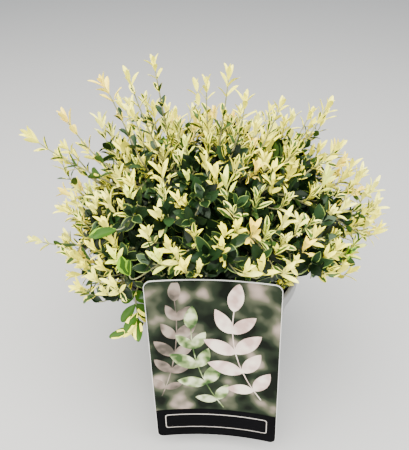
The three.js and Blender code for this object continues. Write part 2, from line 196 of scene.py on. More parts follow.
# Room that twigs and leaves leave round the compost, the rim and the card
SOIL_ROOM = 1.5
RIM_ROOM = 1.0
RIM_INSIDE = RIM_INNER_RADIUS - 5
RIM_OUTSIDE = RIM_RADIUS + 2
TWIG_ROOM = 0.5
LEAF_ROOM = 0.6
CARD_ROOM = 1.5
CARD_HOLD_BACK = 0.66
HOOK_ROOM = 4.0

# A leaf may reach past the solids' box by this much
LEAF_OVERHANG = 3.0

# The underside rises towards the front: where that starts and its slope, on the left and right
LOWEST_FOLIAGE = 101.0
FRONT_LIFTS = [(28.0, 1.0), (0.0, 0.8)]

# Low on the left of the front only single shoots stand: tips below all three of these are left out
OPEN_CORNER = np.array([-84.0, -10.0, 146.0])

# Tips of the long shoots, as in the solids
LONG_SHOOTS = np.array([
    (-37, 10, 284), (-52, -6, 280), (-1, 16, 268), (13, 4, 277), (-69, -10, 277), (-99, 0, 251),
    (-128, 2, 236), (23, -12, 266), (51, 12, 253), (81, 0, 256), (88, -14, 231), (105, 24, 201),
    (132, 12, 167), (133, -4, 154), (107, -14, 124), (-111, -14, 185), (-144, 0, 147),
    (-111, -28, 132), (-109, 6, 216), (113, 0, 189), (-55, 14, 248), (78, 24, 234),
])

# Long shoots round the back, whose rises in degrees take turns
BACK_SHOOTS = 14
BACK_SHOOT_RISES = (12, 48, 28)
BACK_SHOOT_REACH = (136, 148)

# The shoot that droops at the left of the card, as a curve's foot, two handles and tip
DROOP = np.array([(-38, -34, 140), (-70, -60, 153), (-42, -68, 112), (-58, -69, 115)])

# Tufts low on both sides, by the place of their tips
LOW_TUFTS = np.array([
    (44, -52, 140), (50, -47, 134), (55, -43, 131), (60, -36, 130), (68, -22, 132),
    (76, -8, 130), (48, -40, 130), (54, -32, 128),
    (-61, -40, 135), (-69, -27, 132), (-76, -12, 128), (-80, 4, 128),
])

# Cream tufts on the near side, by the pixel of the photograph where each one's middle lies
TUFTS_SEEN = [
    (225, 230), (222, 245), (238, 223), (255, 226), (266, 228), (258, 193), (273, 179), (287, 196),
    (286, 215), (301, 218), (312, 189), (286, 238), (317, 231), (306, 243), (325, 252), (296, 258),
    (276, 248), (275, 270), (286, 267), (245, 267), (261, 266), (214, 264), (113, 282), (225, 179),
    (215, 171), (349, 184), (358, 176), (366, 190), (345, 172), (371, 203), (368, 222), (355, 241),
    (328, 268), (344, 265), (188, 175), (162, 188), (178, 196), (185, 200), (158, 211), (146, 229),
    (131, 178), (128, 190), (97, 185), (76, 184), (66, 206), (94, 207), (86, 199), (114, 255),
    (91, 244), (194, 230), (170, 244), (176, 252), (184, 264), (198, 266), (159, 254), (94, 275),
    (104, 289), (79, 257), (100, 117), (110, 128), (58, 155), (153, 107), (167, 110), (192, 108),
    (172, 128), (140, 133), (178, 122), (207, 142), (127, 160), (143, 160), (241, 109), (293, 115),
    (326, 111), (309, 135), (319, 147), (334, 150), (215, 109), (219, 130), (225, 148), (253, 141),
    (270, 141), (275, 131), (290, 135), (292, 160), (275, 167), (256, 164), (235, 164), (205, 158),
    (150, 146), (118, 172), (352, 163), (362, 170), (374, 184), (285, 118), (226, 118), (204, 116),
    (352, 222), (338, 245), (68, 243), (84, 264), (100, 262), (112, 238), (104, 222), (82, 218),
    (124, 205), (246, 128), (186, 140), (164, 150), (160, 168), (180, 156), (265, 155), (145, 97),
    (130, 103), (80, 228), (107, 198), (74, 199), (377, 201), (379, 226), (376, 213), (364, 211),
]

# Dark leafy shoots on the near side that stand out between the tufts: as shade shoots, their leaves take
# the darker tones of painted shade
GREENS_SEEN = [
    (301, 160), (303, 172), (318, 205), (328, 212), (336, 204), (325, 197), (341, 213), (322, 222),
    (312, 263), (317, 271), (207, 255), (226, 260), (262, 258), (150, 262), (168, 214), (188, 214),
    (202, 192), (133, 214),
]

# Single bright green shoots on the near side, by pixel, heading and kind
BRIGHT_SHOOTS = [
    ((129, 275), (0.0, -0.1, 1.0), "lime_end"), ((116, 230), (-1.0, -0.2, 0.1), "green_end"),
]

# Tufts of the top stand further back than this, because those in front were seen one by one
TOP_FRONT = 5.0

# Leaf pairs down a shoot, counted from its tip: gap to the tip, length, width, spread from
# the stem in degrees, and share of green. Each pair is crossed by the next.
PAIRS = {
    "leader": [
        (0, 8, 2.6, 9, 0), (1.5, 10.5, 3.2, 22, 0), (5, 10.5, 3.4, 34, 0),
        (11, 10, 3.5, 38, 0.1), (22, 9.5, 3.9, 30, 0.65), (34, 10, 4.2, 28, 0.85),
        (46, 11, 4.8, 32, 0.95), (57, 12, 5.6, 44, 1), (67, 13, 6.4, 52, 1),
        (76, 14, 7, 58, 1), (86, 15, 7.4, 62, 1), (96, 15, 7.6, 66, 1),
        (106, 15, 7.6, 68, 1), (116, 15, 7.6, 70, 1),
    ],
    "tuft": [
        (0, 9, 2.6, 7, 0), (1.2, 12, 3.2, 16, 0), (4, 12, 3.3, 27, 0),
        (8.5, 11, 3.2, 34, 0), (13, 9.5, 3.3, 38, 0.55), (17.5, 10, 4.4, 46, 0.95),
        (23, 12.5, 6, 56, 1), (30, 14, 7, 62, 1), (37, 15, 7.6, 66, 1),
        (45, 15, 7.6, 70, 1), (53, 15, 7.8, 72, 1),
    ],
    "fill": [
        (0, 7, 3, 16, 0.5), (2.5, 10, 4, 36, 0.6), (7, 12, 5, 52, 0.75),
        (14, 13, 6.2, 58, 0.9), (22, 15, 7.4, 64, 1), (30, 16, 8, 68, 1),
        (39, 16, 8, 72, 1),
    ],
    "shade": [
        (0, 9, 4.2, 22, 1), (3, 13, 6.4, 46, 1), (8, 15, 7.8, 62, 1),
        (15, 16, 8.2, 68, 1), (23, 16, 8.2, 72, 1), (31, 16, 8.2, 74, 1),
    ],
    "droop": [
        (0, 16, 5.4, 9, 0.85), (4, 10, 3.8, 24, 0.25), (11, 16, 7.8, 46, 0.85),
        (17, 16, 8.2, 46, 0.85), (23, 15, 8.2, 50, 0.9), (30, 14, 7.8, 48, 0.9),
    ],
    "lime_end": [
        (0, 17, 7.8, 12, 0.55), (12, 12, 5.6, 46, 1), (21, 14, 7, 60, 1),
        (30, 15, 7.8, 68, 1),
    ],
    "green_end": [(0, 17, 7, 10, 0.92), (13, 11, 5.2, 46, 1), (22, 13, 6.4, 58, 1)],
    "core": [
        (0, 16, 8.6, 40, 1), (6, 18, 9.6, 66, 1), (14, 18, 9.8, 72, 1),
        (23, 18, 9.8, 74, 1),
    ],
}

# Kinds of shoot: radius at the foot, bare share, how far down from the tip the upright end pulls
# on the curve, and the price of wood for the foot by its distance and by how far it is aside
KINDS = {
    "leader": (0.8, 0.12, 0.38, 0.6, 1.7),
    "tuft": (0.6, 0.2, 0.55, 1, 0.8),
    "fill": (0.6, 0.25, 0.38, 1, 0.8),
    "shade": (0.6, 0.12, 0.38, 1, 0.8),
    "core": (0.8, 0, 0.38, 1, 0.8),
    "droop": (0.65, 0.3, 0.38, 1, 0.8),
    "lime_end": (0.55, 0.2, 0.6, 1, 0.8),
    "green_end": (0.55, 0.2, 0.38, 1, 0.8),
}
TIP_THICKNESS = 0.36
PATH_POINTS = 9
TWIG_SIDES = 6

# Leaf tones from pale to dark: colour, roughness and specular level. The darkest is a near-black green
# that is painted shade, dealt only to leaves low or deep in the crown and in its core
LEAF_LOOKS = {
    "ivory": ("#f5f372", 0.5, 0.4),
    "butter": ("#f6f050", 0.5, 0.4),
    "peach": ("#fae352", 0.5, 0.4),
    "celery": ("#e6ee68", 0.48, 0.4),
    "lime": ("#76a30e", 0.5, 0.2),
    "sage": ("#748a3c", 0.42, 0.35),
    "grass": ("#2c4c0e", 0.45, 0.16),
    "meadow": ("#36501f", 0.4, 0.26),
    "deep": ("#20371a", 0.34, 0.25),
    "shade": ("#132610", 0.36, 0.18),
    "painted_shade_black": ("#091507", 0.4, 0.1),
}
TONE = {name: index for index, name in enumerate(LEAF_LOOKS)}

# Tones dealt to a shoot's young leaves, and to the middles of the next ones
PALES = {
    "usual": {"ivory": 0.42, "butter": 0.42, "peach": 0.08, "celery": 0.08},
    "leader": {"ivory": 0.15, "butter": 0.55, "peach": 0.3},
    "fill": {"ivory": 0.43, "butter": 0.42, "lime": 0.15},
}
GREENS = {"meadow": 0.55, "deep": 0.45}

# Shoots that turn their leaves to the open sky in front, with their pale and green tones
LIT_TONES = {"droop": ("butter", "grass"), "lime_end": ("lime", "grass"), "green_end": ("lime", "grass")}
OPEN_SKY = np.array([-0.2, -0.6, 0.8])
LIT_ROLL = 0.2
LIT_CROSSING = 0.7

# Tones of grown leaves in the light, darker ones as painted shade low or deep in the crown, and tones on
# two kinds
GROWN_CHANCES = (0.22, 0.42, 0.36)
LIGHT_TONES = ("meadow", "deep", "shade")
PAINTED_SHADE_TONES = ("deep", "shade", "painted_shade_black")
# The core's leaves, deep in the crown, take the darkest tones as painted shade
GROWN_TONES = {"core": ("shade", "painted_shade_black", "painted_shade_black"), "droop": ("meadow", "grass", "grass")}
# Below this height, or within this reach of the body, grown leaves take the darker tones of painted
# shade
PAINTED_SHADE_LEVEL = 138.0
PAINTED_SHADE_REACH = 0.85

# Some tufts have more green in their leaves, and some grown leaves a sage edge. An edged leaf
# is marked by this share of green
FLECKED_CHANCE = 0.25
FLECKED_GREEN = 0.4
EDGED_CHANCE = 0.4
EDGED = 2.0

# Leaf shape: stations down the blade and columns across it, as shares of its length and half
# width, and the ranges of how sharply it folds, curls back and waves
STATIONS = np.array([0, 0.08, 0.24, 0.42, 0.6, 0.78, 0.92, 1.0])
COLUMNS = np.array([-1, -0.5, 0, 0.5, 1.0])
YOUNG_HALF_WIDTHS = np.array([0.09, 0.16, 0.33, 0.45, 0.5, 0.43, 0.25, 0.05])
GROWN_HALF_WIDTHS = np.array([0.06, 0.14, 0.4, 0.5, 0.49, 0.37, 0.18, 0.03])
YOUNG_FOLD = (0.25, 0.6)
GROWN_FOLD = (0.1, 0.4)
YOUNG_CURL = (0.02, 0.26)
GROWN_CURL = (0.05, 0.22)
WAVE = (0.02, 0.07)
SWAY = 0.05
MARGIN_SHIFT = (-0.35, 0.35)
EDGE_SHIFT = (1.62, 1.78)
LEAF = np.dtype([
    ("root", float, 3), ("way", float, 3), ("upper", float, 3), ("length", float),
    ("width", float), ("margin", int), ("centre", int), ("share", float), ("hanging", bool),
])

SEED = 2718
rng = np.random.default_rng(SEED)

# Each of these has random numbers of its own, so that a change to one leaves the others' alone
DRAWS = [
    "core", "shade", "fill", "seen_tufts", "seen_greens", "dome", "top", "bright", "low", "long",
    "droop", "leaf_shapes",
]


def fresh_draws(group):
    """Starts the random numbers of one group."""
    seed = (SEED, DRAWS.index(group) + 1)
    rng.bit_generator.state = np.random.default_rng(seed).bit_generator.state


def deal(chances):
    """One name drawn from names with their chances."""
    return rng.choice(list(chances), p=list(chances.values()))


# Small tools

def unit(vectors):
    vectors = np.asarray(vectors, float)
    return vectors / np.linalg.norm(vectors, axis=-1, keepdims=True)


def linear(hex_colour):
    """An sRGB hex colour as linear RGBA."""
    parts = [int(hex_colour[i:i + 2], 16) / 255 for i in (1, 3, 5)]
    light = [p / 12.92 if p <= 0.04045 else ((p + 0.055) / 1.055) ** 2.4 for p in parts]
    return (*light, 1.0)


def deselect():
    if bpy.context.mode != "OBJECT":
        bpy.ops.object.mode_set(mode="OBJECT")
    bpy.ops.object.select_all(action="DESELECT")


def select_only(piece):
    deselect()
    piece.select_set(True)
    bpy.context.view_layer.objects.active = piece


def named(name):
    """The object just added, renamed."""
    piece = bpy.context.active_object
    piece.name = name
    piece.data.name = name
    return piece


def apply_place(piece):
    select_only(piece)
    bpy.ops.object.transform_apply(location=True, rotation=True, scale=True)


def apply_modifiers(piece):
    select_only(piece)
    for modifier in list(piece.modifiers):
        bpy.ops.object.modifier_apply(modifier=modifier.name)


def smooth(piece, degrees):
    select_only(piece)
    bpy.ops.object.shade_smooth_by_angle(angle=math.radians(degrees))


def pick_edges(piece, wanted):
    """Opens a piece for editing with the edges selected whose two ends pass a test."""
    bpy.ops.object.mode_set(mode="EDIT")
    bpy.ops.mesh.select_mode(type="EDGE")
    bpy.ops.mesh.select_all(action="DESELECT")
    mesh_edit = bmesh.from_edit_mesh(piece.data)
    for edge in mesh_edit.edges:
        edge.select_set(wanted(edge.verts[0].co, edge.verts[1].co))
    bmesh.update_edit_mesh(piece.data)


def add_object(name, data):
    made = bpy.data.objects.new(name, data)
    bpy.context.scene.collection.objects.link(made)
    return made


def mesh_from(name, points, faces):
    """A smooth mesh object from points in millimetres."""
    mesh = bpy.data.meshes.new(name)
    mesh.from_pydata((np.asarray(points) * MM).tolist(), [], faces)
    mesh.shade_smooth()
    return add_object(name, mesh)


def finish_piece(piece, material, slot, *nodes):
    """The piece rides on the pot's body, takes a finish and stands for CAD nodes."""
    piece.data.materials.clear()
    piece.data.materials.append(material)
    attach(piece, "root")
    if nodes:
        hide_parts(*nodes)


# Camera, floor and light

def sight_lines(pixels):
    """Directions from the camera through pixels of the photograph."""
    across, down = ((np.asarray(pixels, float) - PHOTO_SIZE / 2) / FOCAL_PIXELS).T
    roll_cos, roll_sin = math.cos(CAMERA_ROLL), math.sin(CAMERA_ROLL)
    right = across * roll_cos - down * roll_sin
    below = across * roll_sin + down * roll_cos
    pitch_cos, pitch_sin = math.cos(CAMERA_PITCH), math.sin(CAMERA_PITCH)
    forward = pitch_cos - below * pitch_sin
    up = -pitch_sin - below * pitch_cos
    return unit(np.stack([right, forward, up], axis=1))


def make_camera():
    data = bpy.data.cameras.new("camera")
    data.sensor_width = SENSOR_WIDTH
    data.lens = SENSOR_WIDTH * FOCAL_PIXELS / PHOTO_SIZE.max()
    data.clip_start = 0.01
    data.clip_end = 50
    camera = add_object("camera", data)
    camera.matrix_world = (
        Matrix.Translation(Vector(CAMERA_PLACE * MM))
        @ Matrix.Rotation(math.pi / 2 - CAMERA_PITCH, 4, "X")
        @ Matrix.Rotation(-CAMERA_ROLL, 4, "Z")
    )
    bpy.context.scene.camera = camera


def make_light():
    world = bpy.data.worlds.new("studio")
    world.use_nodes = True
    background = world.node_tree.nodes["Background"]
    background.inputs["Color"].default_value = linear(SKY_COLOUR)
    background.inputs["Strength"].default_value = SKY_STRENGTH
    bpy.context.scene.world = world
    for name, place, size, power, colour in LIGHT_BOXES:
        data = bpy.data.lights.new(name, "AREA")
        data.size = size
        data.energy = power
        data.color = linear(colour)[:3]
        box = add_object(name, data)
        box.location = place
        box.rotation_euler = (LIGHT_AIM - Vector(place)).to_track_quat("-Z", "Y").to_euler()


def make_floor():
    deselect()
    bpy.ops.mesh.primitive_circle_add(
        vertices=96, radius=FLOOR_RADIUS, fill_type="NGON", location=(0, 0, 0),
    )
    floor = named("floor")
    material, shader = new_material("pale_floor")
    set_inputs(material, shader, {"Base Color": linear("#a3a4a3"), "Roughness": 0.7})
    floor.data.materials.append(material)


# Materials

def new_material(name):
    material = bpy.data.materials.new(name)
    material.use_nodes = True
    return material, material.node_tree.nodes["Principled BSDF"]


def set_inputs(material, node, inputs):
    """Sets a node's inputs. A socket, or a node for its first output, is linked."""
    for key, value in inputs.items():
        if isinstance(value, bpy.types.Node):
            value = value.outputs[0]
        if isinstance(value, bpy.types.NodeSocket):
            material.node_tree.links.new(value, node.inputs[key])
        else:
            node.inputs[key].default_value = value


def add_node(material, kind, inputs, stops=()):
    """Adds a node with its inputs and, on a colour ramp, its stops as (place, sRGB hex)."""
    made = material.node_tree.nodes.new(kind)
    set_inputs(material, made, inputs)
    if stops:
        ends = made.color_ramp.elements
        while len(ends) < len(stops):
            ends.new(0.5)
        for end, (place, colour) in zip(ends, stops):
            end.position = place
            end.color = linear(colour)
    return made


def patterned_material(name, size, noise, finish, stops=(), relief=()):
    """A finish with colours or a relief along a noise of a real size in millimetres.

    The relief has a strength and a depth in millimetres.
    """
    material, shader = new_material(name)
    place = add_node(material, "ShaderNodeTexCoord", {}).outputs["Object"]
    pattern = add_node(material, "ShaderNodeTexNoise", {
        "Vector": place, "Scale": 1 / (size * MM), **noise,
    })
    set_inputs(material, shader, finish)
    if stops:
        colours = add_node(material, "ShaderNodeValToRGB", {"Fac": pattern}, stops)
        set_inputs(material, shader, {"Base Color": colours})
    if relief:
        bump = add_node(material, "ShaderNodeBump", {
            "Height": pattern, "Strength": relief[0], "Distance": relief[1] * MM,
        })
        set_inputs(material, shader, {"Normal": bump})
    return material


def leaf_material(name, colour, roughness, sheen):
    """Waxy evergreen leaf: a plain colour under a thin cuticle that gives soft highlights."""
    return patterned_material(name, 3.0, {"Detail": 2.0}, {
        "Base Color": linear(colour), "Roughness": roughness, "IOR": 1.45,
        "Specular IOR Level": sheen,
    }, relief=(0.25, 0.6))


def pot_material():
    """Injection-moulded polypropylene: a satin silver grey, painted darker all over as painted shade
    under the crown, with faint flow marks and scuffs.
    """
    material, shader = new_material("moulded_polypropylene_grey_with_painted_shade")
    place = add_node(material, "ShaderNodeTexCoord", {}).outputs["Object"]
    flow = add_node(material, "ShaderNodeTexNoise", {
        "Vector": place, "Scale": 1 / (30.0 * MM), "Detail": 4.0, "Roughness": 0.6,
    })
    grain = add_node(material, "ShaderNodeTexNoise", {
        "Vector": place, "Scale": 1 / (0.8 * MM), "Detail": 2.0,
    })
    # These greys are darker than the pot's own light grey: painted shade for the shade under the crown
    stops = [(0.3, "#7a7a78"), (0.7, "#8b8b88")]
    set_inputs(material, shader, {
        "Base Color": add_node(material, "ShaderNodeValToRGB", {"Fac": flow}, stops),
        "Roughness": add_node(material, "ShaderNodeMapRange", {
            "Value": flow, "To Min": 0.4, "To Max": 0.58,
        }),
        "Normal": add_node(material, "ShaderNodeBump", {
            "Height": grain, "Strength": 0.12, "Distance": 0.2 * MM,
        }),
        "IOR": 1.49,
    })
    return material


def compost_material():
    """Moist peat compost: near-black brown crumbs with paler fibres."""
    return patterned_material(
        "moist_peat_compost", 2.5, {"Detail": 6.0, "Roughness": 0.7}, {"Roughness": 0.95},
        [(0.3, "#17100c"), (0.55, "#34241a"), (0.75, "#5a422e")], relief=(0.8, 1.5),
    )


def bark_material(name, dark, mid, pale, roughness):
    """Thin young bark: olive brown with fine lengthwise cracks and corky flecks."""
    return patterned_material(
        name, 1.6, {"Detail": 5.0, "Roughness": 0.65}, {"Roughness": roughness},
        [(0.3, dark), (0.5, mid), (0.75, pale)], relief=(0.5, 0.5),
    )


def card_sheet_material():
    """Cut edge and back of the card: white polypropylene sheet, slightly see-through grey."""
    return patterned_material(
        "white_polypropylene_sheet", 18.0, {"Detail": 3.0}, {"Roughness": 0.38, "IOR": 1.49},
        [(0.3, "#d3d3d0"), (0.7, "#e0e0dd")],
    )


def print_material(ink):
    """Offset print under a silk-matt laminate: soft blurs of a few inks."""
    grain, stops = CARD_INKS[ink]
    return patterned_material(
        f"offset_print_{ink}", grain, {"Detail": 1.5, "Roughness": 0.45},
        {"Roughness": 0.65, "IOR": 1.5, "Specular IOR Level": 0.04}, stops,
    )


# Pot and compost, turned ring by ring

def turned_piece(name, profile, sides):
    """A closed piece raised ring by ring from a circle, then capped at both ends."""
    deselect()
    radius, height = profile[0]
    bpy.ops.mesh.primitive_circle_add(
        vertices=sides, radius=radius * MM, fill_type="NOTHING", location=(0, 0, height * MM),
    )
    piece = named(name)
    apply_place(piece)
    pick_edges(piece, lambda *ends: True)
    for next_radius, next_height in profile[1:]:
        bpy.ops.mesh.extrude_region_move(
            TRANSFORM_OT_translate={"value": (0, 0, (next_height - height) * MM)},
        )
        share = next_radius / radius
        bpy.ops.transform.resize(
            value=(share, share, 1), center_override=(0, 0, next_height * MM),
        )
        radius, height = next_radius, next_height

    def on_ring(*ends):
        level = all(abs(end.z - height * MM) < 1e-5 for end in ends)
        return level and all(abs(math.hypot(end.x, end.y) - radius * MM) < 1e-4 for end in ends)

    for radius, height in (profile[0], profile[-1]):
        pick_edges(piece, on_ring)
        bpy.ops.mesh.edge_face_add()
        bpy.ops.mesh.inset(thickness=min(radius * 0.5, CAP_INSET) * MM)
    bpy.ops.mesh.select_all(action="SELECT")
    bpy.ops.mesh.normals_make_consistent(inside=False)
    bpy.ops.object.mode_set(mode="OBJECT")
    return piece


def inner_wall_radius(height):
    share = (height - POT_FLOOR) / (BAND_FOOT - POT_FLOOR)
    return FOOT_RADIUS + (NECK_RADIUS - FOOT_RADIUS) * min(share, 1) - POT_WALL


def round_edge(radius, height, steps):
    return [(radius + out, height + up) for out, up in steps]


def make_pot(material):
    profile = round_edge(FOOT_RADIUS, 0, FOOT_EDGE)
    start = profile[-1][1]
    for step in range(1, OUTER_STEPS + 1):
        height = start + (BAND_FOOT - NECK_HEIGHT - start) * step / OUTER_STEPS
        share = height / BAND_FOOT
        profile.append((FOOT_RADIUS + (NECK_RADIUS - FOOT_RADIUS) * share, height))
    profile += round_edge(NECK_RADIUS, BAND_FOOT, NECK_EDGE)
    profile += round_edge(RIM_RADIUS, BAND_FOOT, BAND_EDGE)
    profile += round_edge(RIM_RADIUS, POT_HEIGHT, RIM_OUTER_EDGE)
    profile += round_edge(RIM_INNER_RADIUS, POT_HEIGHT, RIM_INNER_EDGE)
    profile.append((BAND_INNER_RADIUS, BAND_FOOT))
    for step in range(1, INNER_STEPS + 1):
        height = BAND_FOOT - (BAND_FOOT - POT_FLOOR) * step / INNER_STEPS
        profile.append((inner_wall_radius(height), height))
    pot = turned_piece("pot_shell", profile, POT_SIDES)
    for index in range(DRAIN_COUNT):
        turn = (index + 0.5) / DRAIN_COUNT * 2 * math.pi
        x, y = FOOT_RADIUS * math.cos(turn), FOOT_RADIUS * math.sin(turn)
        deselect()
        bpy.ops.mesh.primitive_cylinder_add(
            vertices=20, radius=DRAIN_RADIUS * MM, depth=DRILL_LENGTH * MM,
            location=(x * MM, y * MM, DRAIN_HEIGHT * MM), rotation=(0, math.pi / 2, turn),
        )
        drill = named("drill")
        cut = pot.modifiers.new("drain", "BOOLEAN")
        cut.object = drill
        cut.solver = "EXACT"
        apply_modifiers(pot)
        bpy.data.objects.remove(drill)
    smooth(pot, 35)
    finish_piece(pot, material, "pot_plastic", "pot")


def make_compost(material):
    edge = SOIL_LEVEL - SOIL_EDGE_DROP
    floor = POT_FLOOR + CLEARANCE
    gap = CLEARANCE + 0.1
    profile = []
    for step in range(INNER_STEPS + 1):
        height = floor + (edge - floor) * step / INNER_STEPS
        profile.append((inner_wall_radius(height) - gap, height))
    wall = profile[-1][0]
    for step in range(1, SOIL_RINGS):
        radius = wall * (1 - step / SOIL_RINGS)
        rise = min((wall - radius) / (wall - SOIL_FLAT_RADIUS), 1)
        profile.append((radius, edge + SOIL_EDGE_DROP * rise))
    bed = turned_piece("compost_bed", profile, SOIL_SIDES)
    group = bed.vertex_groups.new(name="surface")
    for vertex in bed.data.vertices:
        radius = math.hypot(vertex.co.x, vertex.co.y) / MM
        if vertex.co.z / MM > edge - 0.1:
            group.add([vertex.index], min(max((wall - radius) / 2, 0), 1), "REPLACE")
    crumbs = bpy.data.textures.new("crumbs", "CLOUDS")
    crumbs.noise_scale = CRUMB_SIZE * MM
    crumbs.noise_depth = 3
    push = bed.modifiers.new("crumbs", "DISPLACE")
    push.texture = crumbs
    push.texture_coords = "LOCAL"
    push.direction = "Z"
    push.strength = CRUMB_DEPTH * MM
    push.mid_level = 0.95
    push.vertex_group = "surface"
    apply_modifiers(bed)
    smooth(bed, 60)
    finish_piece(bed, material, "compost", "compost")


# Card: a bowed sheet with layers of print and a hook over the rim

CARD_PLACE = (
    Matrix.Translation(Vector(CARD_MIDDLE))
    @ Matrix.Rotation(CARD_TURN, 4, "Z")
    @ Matrix.Rotation(-CARD_LEAN, 4, "X")
    @ Matrix.Rotation(CARD_ROLL, 4, "Y")
)


def card_depth(across):
    return -CARD_BOW * (across / (CARD_WIDTH / 2)) ** 2


def onto_card(flat):
    """Points given as (across, in front, up) on the flat card, bowed and set in place."""
    bowed = np.stack([flat[:, 0], card_depth(flat[:, 0]) - flat[:, 1], flat[:, 2]], axis=1)
    matrix = np.array(CARD_PLACE)
    return bowed @ matrix[:3, :3].T + matrix[:3, 3]


def card_layer(name, width, height, corner, thickness, front, middle=0, foot_only=False):
    """A sheet with round corners, made flat in strips and then bowed onto the card's place."""
    deselect()
    bpy.ops.mesh.primitive_cube_add(
        size=1, location=(0, (thickness / 2 - front) * MM, middle * MM),
    )
    sheet = named(name)
    sheet.scale = (width * MM, thickness * MM, height * MM)
    apply_place(sheet)

    def at_corner(a, b):
        through = abs(a.x - b.x) < 1e-6 and abs(a.z - b.z) < 1e-6
        return through and (a.z < middle * MM or not foot_only)

    pick_edges(sheet, at_corner)
    bpy.ops.mesh.bevel(offset=corner * MM, segments=8, affect="EDGES")
    for step in range(1, CARD_STRIPS):
        across = (step / CARD_STRIPS - 0.5) * width
        bpy.ops.mesh.select_all(action="SELECT")
        bpy.ops.mesh.bisect(plane_co=(across * MM, 0, 0), plane_no=(1, 0, 0))
    bpy.ops.object.mode_set(mode="OBJECT")
    flat = np.zeros(len(sheet.data.vertices) * 3)
    sheet.data.vertices.foreach_get("co", flat)
    bowed = onto_card(flat.reshape(-1, 3) / MM * (1, -1, 1)) * MM
    sheet.data.vertices.foreach_set("co", bowed.astype(np.float32).ravel())
    sheet.data.update()
    smooth(sheet, 30)
    return sheet


def make_hook():
    """A strip from the card's back over the rim, turned down inside it."""
    over = POT_HEIGHT + CLEARANCE
    start = (over - CARD_MIDDLE[2]) * math.tan(CARD_LEAN)
    end = start + HOOK_REACH
    deselect()
    bpy.ops.mesh.primitive_plane_add(size=1, location=(0, (end + start) / 2 * MM, over * MM))
    hook = named("card_hook")
    hook.scale = (HOOK_WIDTH * MM, (end - start) * MM, 1)
    apply_place(hook)
    pick_edges(hook, lambda *ends: all(point.y > (end - 0.1) * MM for point in ends))
    bpy.ops.mesh.extrude_region_move(TRANSFORM_OT_translate={"value": (0, 0, -HOOK_DROP * MM)})
    bpy.ops.object.mode_set(mode="OBJECT")
    thicken = hook.modifiers.new("thickness", "SOLIDIFY")
    thicken.thickness = CARD_THICKNESS * MM
    thicken.offset = 1
    round_off = hook.modifiers.new("edges", "BEVEL")
    round_off.width = HOOK_EDGE * MM
    round_off.segments = 2
    apply_modifiers(hook)
    place = Matrix.Translation(Vector((CARD_MIDDLE[0], CARD_MIDDLE[1], 0)) * MM)
    hook.data.transform(place @ Matrix.Rotation(CARD_TURN, 4, "Z"))
    smooth(hook, 35)
    return hook


def card_spray(start, end, bend, pairs, leaf, front):
    """A flat sprig on the card: a thin stem with pairs of leaves and one at the tip."""
    start, end = np.array(start), np.array(end)
    t = np.linspace(0, 1, 2 * pairs + 2)
    aside = np.array([start[1] - end[1], end[0] - start[0]]) / np.linalg.norm(end - start)
    stem = start + (end - start) * t[:, None] + aside * (bend * 4 * t * (1 - t))[:, None]
    heading = np.gradient(stem, axis=0)
    angles = np.arctan2(heading[:, 1], heading[:, 0])
    thin = np.stack([-np.sin(angles), np.cos(angles)], axis=1) * SPRAY_STEM_RADIUS
    strips = [np.stack([stem - thin, stem, stem + thin], axis=1)]
    leaves = [(stem[-1], angles[-1], 1.0)]
    for index in range(pairs):
        node = 1 + 2 * index
        fullness = 0.72 + 0.4 * math.sin(math.pi * (index + 1) / (pairs + 1))
        for side in (-1, 1):
            spread = math.radians(58 - 22 * index / pairs + rng.uniform(-8, 8)) * side
            leaves.append((stem[node], angles[node] + spread, fullness * rng.uniform(0.85, 1.1)))
    for root, angle, size in leaves:
        along = np.array([math.cos(angle), math.sin(angle)])
        across = np.array([-along[1], along[0]])
        middle = root + along * (SPRAY_STATIONS * leaf[0] * size)[:, None]
        middle += across * (0.12 * leaf[0] * rng.uniform(-1, 1) * SPRAY_STATIONS ** 2)[:, None]
        half = across * (SPRAY_HALF_WIDTHS * leaf[1] * size)[:, None]
        strips.append(np.stack([middle - half, middle, middle + half], axis=1))
    points, faces = [], []
    for strip in strips:
        for line in range(len(strip) - 1):
            for column in (0, 1):
                corner = len(points) + line * 3 + column
                faces.append((corner, corner + 3, corner + 4, corner + 1))
        points.extend(np.clip(strip, -SPRAY_ROOM, SPRAY_ROOM).reshape(-1, 2))
    across, up = np.array(points).T
    lift = np.full(len(points), CARD_THICKNESS / 2 + front)
    return onto_card(np.stack([across, lift, up], axis=1)), faces


def make_card(sheet_material):
    inks = {ink: print_material(ink) for ink in CARD_INKS}
    sheet = card_layer("card_sheet", CARD_WIDTH, CARD_HEIGHT, CARD_CORNER, CARD_THICKNESS,
                       CARD_THICKNESS / 2)
    for piece in (make_hook(), sheet):
        finish_piece(piece, sheet_material, "printed_plastic", "card")
    for name, width, height, corner, lift, middle, foot_only, ink in CARD_LAYERS:
        layer = card_layer(name, width, height, corner, PRINT_THICKNESS,
                           CARD_THICKNESS / 2 + lift, middle, foot_only)
        finish_piece(layer, inks[ink], "printed_plastic")
    for name, *shape, ink in CARD_SPRAYS:
        finish_piece(mesh_from(name, *card_spray(*shape)), inks[ink], "printed_plastic")


# The space of the crown, by the rule of the solids

def mass_directions():
    rows = []
    for count, elevation, turn in MASS_RINGS:
        rise = math.radians(elevation)
        for index in range(count):
            azimuth = math.radians(turn + index * 360 / count)
            rows.append((math.sin(azimuth) * math.cos(rise),
                         -math.cos(azimuth) * math.cos(rise), math.sin(rise)))
    return np.array(rows)


TOWARD = mass_directions()


def nearest_mass(point):
    return int(np.argmax(TOWARD @ (point - CROWN_HEART)))


def body_share(points):
    """How far out points lie, with 1 on the surface of the dense body."""
    out = np.asarray(points, float) - CROWN_HEART
    wide = np.hypot(out[..., 0], out[..., 1]) / BODY_HALF_WIDTH
    return np.hypot(wide, out[..., 2] / BODY_HALF_HEIGHT)


